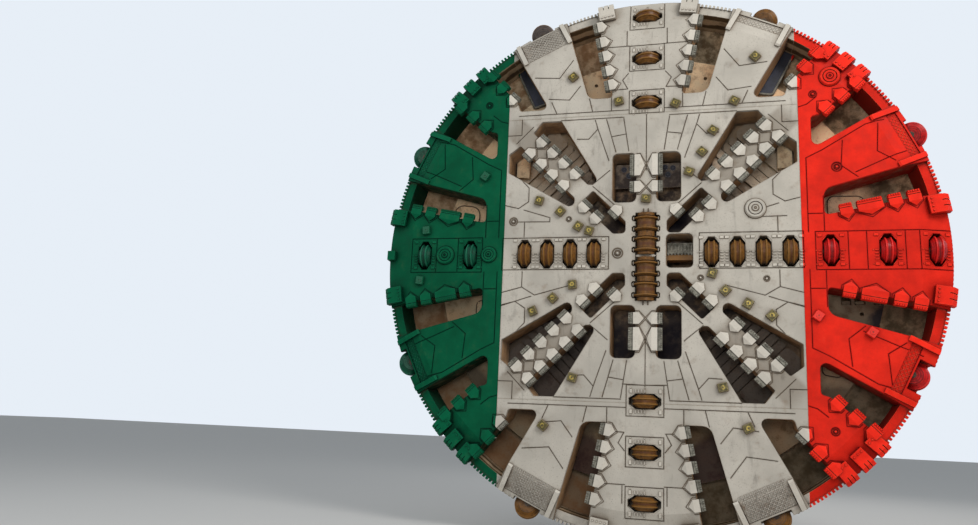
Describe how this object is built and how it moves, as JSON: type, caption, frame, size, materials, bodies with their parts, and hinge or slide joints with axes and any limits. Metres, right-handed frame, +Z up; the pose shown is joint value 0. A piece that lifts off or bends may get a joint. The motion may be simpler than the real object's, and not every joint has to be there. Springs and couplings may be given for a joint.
{
  "type": "tunnel boring machine cutterhead",
  "caption": "Mixed-ground cutterhead: a slotted wheel of welded arms in three colours with free-turning disc cutters and scrapers, turning in a fixed bearing ring.",
  "frame": {"origin": "centre of the bearing ring's rear face, on the circle of its mounting bolts", "axes": "+Y along the tunnel axis, out of the rear face; the cutting face looks along -Y; +Z up; +X to the right seen from in front of the face"},
  "size_m": [9.3198, 2.07, 9.3198],
  "materials": {
    "cream_paint": "off-white enamel, chalky, stained with grime",
    "green_paint": "mid green enamel over everything on the left side",
    "red_paint": "vermilion enamel over everything on the right side",
    "hard_metal": "dull grey tungsten carbide and hardfacing",
    "rusty_steel": "brown rusty tool steel",
    "saddle_steel": "dark dirty steel inside the pockets",
    "tan_primer": "tan primer with rust and mud stains",
    "brass": "dirty olive brass",
    "bearing_steel": "machined steel, oiled"
  },
  "bodies": {
    "bearing": {"bearing_ring": "bearing_steel"},
    "cutterhead": {"inner_race": "bearing_steel", "drive_flange": "bearing_steel", "torque_legs": "tan_primer", "rear_cone": "tan_primer", "chute_frame": "tan_primer", "rotary_union": "bearing_steel", "centre_column": "cream_paint", "centre_wings": "cream_paint", "diagonal_spokes": "cream_paint", "top_segment": "cream_paint", "bottom_segment": "cream_paint", "left_segment": "green_paint", "right_segment": "red_paint", "rim_white": "cream_paint", "rim_green": "green_paint", "rim_red": "red_paint", "wear_plates_centre": "cream_paint", "wear_plates_white": "cream_paint", "wear_plates_green": "green_paint", "wear_plates_red": "red_paint", "gauge_guards": "cream_paint", "scrapers_white": "cream_paint", "scrapers_green": "green_paint", "scrapers_red": "red_paint", "scraper_tips": "hard_metal", "nozzles": "brass", "wear_caps": "green_paint", "cutter_saddles": "saddle_steel"},
    "cutter_top_1": {"cutter_top_1": "rusty_steel"},
    "cutter_top_2": {"cutter_top_2": "rusty_steel"},
    "cutter_top_3": {"cutter_top_3": "rusty_steel"},
    "cutter_bottom_1": {"cutter_bottom_1": "rusty_steel"},
    "cutter_bottom_2": {"cutter_bottom_2": "rusty_steel"},
    "cutter_bottom_3": {"cutter_bottom_3": "rusty_steel"},
    "cutter_right_1": {"cutter_right_1": "rusty_steel"},
    "cutter_right_2": {"cutter_right_2": "rusty_steel"},
    "cutter_right_3": {"cutter_right_3": "rusty_steel"},
    "cutter_right_4": {"cutter_right_4": "rusty_steel"},
    "cutter_right_5": {"cutter_right_5": "rusty_steel"},
    "cutter_right_6": {"cutter_right_6": "rusty_steel"},
    "cutter_right_7": {"cutter_right_7": "rusty_steel"},
    "cutter_left_1": {"cutter_left_1": "rusty_steel"},
    "cutter_left_2": {"cutter_left_2": "rusty_steel"},
    "cutter_left_3": {"cutter_left_3": "rusty_steel"},
    "cutter_left_4": {"cutter_left_4": "rusty_steel"},
    "cutter_left_5": {"cutter_left_5": "rusty_steel"},
    "cutter_left_6": {"cutter_left_6": "rusty_steel"},
    "cutter_centre_1": {"cutter_centre_1": "rusty_steel"},
    "cutter_centre_2": {"cutter_centre_2": "rusty_steel"},
    "cutter_centre_3": {"cutter_centre_3": "rusty_steel"},
    "cutter_centre_4": {"cutter_centre_4": "rusty_steel"},
    "cutter_gauge_1": {"cutter_gauge_1": "rusty_steel"},
    "cutter_gauge_2": {"cutter_gauge_2": "rusty_steel"},
    "cutter_gauge_3": {"cutter_gauge_3": "rusty_steel"},
    "cutter_gauge_4": {"cutter_gauge_4": "rusty_steel"},
    "cutter_gauge_5": {"cutter_gauge_5": "rusty_steel"},
    "cutter_gauge_6": {"cutter_gauge_6": "rusty_steel"},
    "cutter_gauge_7": {"cutter_gauge_7": "rusty_steel"},
    "cutter_gauge_8": {"cutter_gauge_8": "rusty_steel"}
  },
  "joints": [
    {"name": "head_spin", "type": "hinge", "parent": "bearing", "child": "cutterhead", "pos_m": [0, 0, 0], "axis": [0, 1, 0], "continuous": true},
    {"name": "cutter_top_1_spin", "type": "hinge", "parent": "cutterhead", "child": "cutter_top_1", "pos_m": [0, -1.854, 2.69], "axis": [0, 0, 1], "continuous": true},
    {"name": "cutter_top_2_spin", "type": "hinge", "parent": "cutterhead", "child": "cutter_top_2", "pos_m": [0, -1.854, 3.52], "axis": [0, 0, 1], "continuous": true},
    {"name": "cutter_top_3_spin", "type": "hinge", "parent": "cutterhead", "child": "cutter_top_3", "pos_m": [0, -1.854, 4.34], "axis": [0, 0, 1], "continuous": true},
    {"name": "cutter_bottom_1_spin", "type": "hinge", "parent": "cutterhead", "child": "cutter_bottom_1", "pos_m": [0, -1.854, -2.46], "axis": [0, 0, 1], "continuous": true},
    {"name": "cutter_bottom_2_spin", "type": "hinge", "parent": "cutterhead", "child": "cutter_bottom_2", "pos_m": [0, -1.854, -3.26], "axis": [0, 0, 1], "continuous": true},
    {"name": "cutter_bottom_3_spin", "type": "hinge", "parent": "cutterhead", "child": "cutter_bottom_3", "pos_m": [0, -1.854, -4.05], "axis": [0, 0, 1], "continuous": true},
    {"name": "cutter_right_1_spin", "type": "hinge", "parent": "cutterhead", "child": "cutter_right_1", "pos_m": [1.06, -1.854, 0], "axis": [1, 0, 0], "continuous": true},
    {"name": "cutter_right_2_spin", "type": "hinge", "parent": "cutterhead", "child": "cutter_right_2", "pos_m": [1.469, -1.854, 0], "axis": [1, 0, 0], "continuous": true},
    {"name": "cutter_right_3_spin", "type": "hinge", "parent": "cutterhead", "child": "cutter_right_3", "pos_m": [1.873, -1.854, 0], "axis": [1, 0, 0], "continuous": true},
    {"name": "cutter_right_4_spin", "type": "hinge", "parent": "cutterhead", "child": "cutter_right_4", "pos_m": [2.285, -1.854, 0], "axis": [1, 0, 0], "continuous": true},
    {"name": "cutter_right_5_spin", "type": "hinge", "parent": "cutterhead", "child": "cutter_right_5", "pos_m": [2.883, -1.854, 0], "axis": [1, 0, 0], "continuous": true},
    {"name": "cutter_right_6_spin", "type": "hinge", "parent": "cutterhead", "child": "cutter_right_6", "pos_m": [3.71, -1.854, 0], "axis": [1, 0, 0], "continuous": true},
    {"name": "cutter_right_7_spin", "type": "hinge", "parent": "cutterhead", "child": "cutter_right_7", "pos_m": [4.412, -1.854, 0], "axis": [1, 0, 0], "continuous": true},
    {"name": "cutter_left_1_spin", "type": "hinge", "parent": "cutterhead", "child": "cutter_left_1", "pos_m": [-0.873, -1.854, 0], "axis": [1, 0, 0], "continuous": true},
    {"name": "cutter_left_2_spin", "type": "hinge", "parent": "cutterhead", "child": "cutter_left_2", "pos_m": [-1.281, -1.854, 0], "axis": [1, 0, 0], "continuous": true},
    {"name": "cutter_left_3_spin", "type": "hinge", "parent": "cutterhead", "child": "cutter_left_3", "pos_m": [-1.683, -1.854, 0], "axis": [1, 0, 0], "continuous": true},
    {"name": "cutter_left_4_spin", "type": "hinge", "parent": "cutterhead", "child": "cutter_left_4", "pos_m": [-2.084, -1.854, 0], "axis": [1, 0, 0], "continuous": true},
    {"name": "cutter_left_5_spin", "type": "hinge", "parent": "cutterhead", "child": "cutter_left_5", "pos_m": [-3.07, -1.854, 0], "axis": [1, 0, 0], "continuous": true},
    {"name": "cutter_left_6_spin", "type": "hinge", "parent": "cutterhead", "child": "cutter_left_6", "pos_m": [-3.92, -1.854, 0], "axis": [1, 0, 0], "continuous": true},
    {"name": "cutter_centre_1_spin", "type": "hinge", "parent": "cutterhead", "child": "cutter_centre_1", "pos_m": [0, -1.854, 0.508], "axis": [0, 0, 1], "continuous": true},
    {"name": "cutter_centre_2_spin", "type": "hinge", "parent": "cutterhead", "child": "cutter_centre_2", "pos_m": [0, -1.854, 0.147], "axis": [0, 0, 1], "continuous": true},
    {"name": "cutter_centre_3_spin", "type": "hinge", "parent": "cutterhead", "child": "cutter_centre_3", "pos_m": [0, -1.854, -0.267], "axis": [0, 0, 1], "continuous": true},
    {"name": "cutter_centre_4_spin", "type": "hinge", "parent": "cutterhead", "child": "cutter_centre_4", "pos_m": [0, -1.854, -0.627], "axis": [0, 0, 1], "continuous": true},
    {"name": "cutter_gauge_1_spin", "type": "hinge", "parent": "cutterhead", "child": "cutter_gauge_1", "pos_m": [1.99624, -1.67, 4.16647], "axis": [0.1619, 0.9272, 0.3378], "continuous": true},
    {"name": "cutter_gauge_2_spin", "type": "hinge", "parent": "cutterhead", "child": "cutter_gauge_2", "pos_m": [4.20755, -1.67, 1.94416], "axis": [0.3401, 0.9272, 0.1571], "continuous": true},
    {"name": "cutter_gauge_3_spin", "type": "hinge", "parent": "cutterhead", "child": "cutter_gauge_3", "pos_m": [4.02217, -1.67, -1.9271], "axis": [0.3378, 0.9272, -0.1619], "continuous": true},
    {"name": "cutter_gauge_4_spin", "type": "hinge", "parent": "cutterhead", "child": "cutter_gauge_4", "pos_m": [1.98759, -1.67, -4.14843], "axis": [0.1619, 0.9272, -0.3378], "continuous": true},
    {"name": "cutter_gauge_5_spin", "type": "hinge", "parent": "cutterhead", "child": "cutter_gauge_5", "pos_m": [-1.93154, -1.67, -4.21886], "axis": [-0.1559, 0.9272, -0.3406], "continuous": true},
    {"name": "cutter_gauge_6_spin", "type": "hinge", "parent": "cutterhead", "child": "cutter_gauge_6", "pos_m": [-4.14854, -1.67, -1.9169], "axis": [-0.3401, 0.9272, -0.1571], "continuous": true},
    {"name": "cutter_gauge_7_spin", "type": "hinge", "parent": "cutterhead", "child": "cutter_gauge_7", "pos_m": [-4.13506, -1.67, 1.94581], "axis": [-0.339, 0.9272, 0.1595], "continuous": true},
    {"name": "cutter_gauge_8_spin", "type": "hinge", "parent": "cutterhead", "child": "cutter_gauge_8", "pos_m": [-1.93247, -1.67, 4.24042], "axis": [-0.1553, 0.9272, 0.3409], "continuous": true}
  ]
}
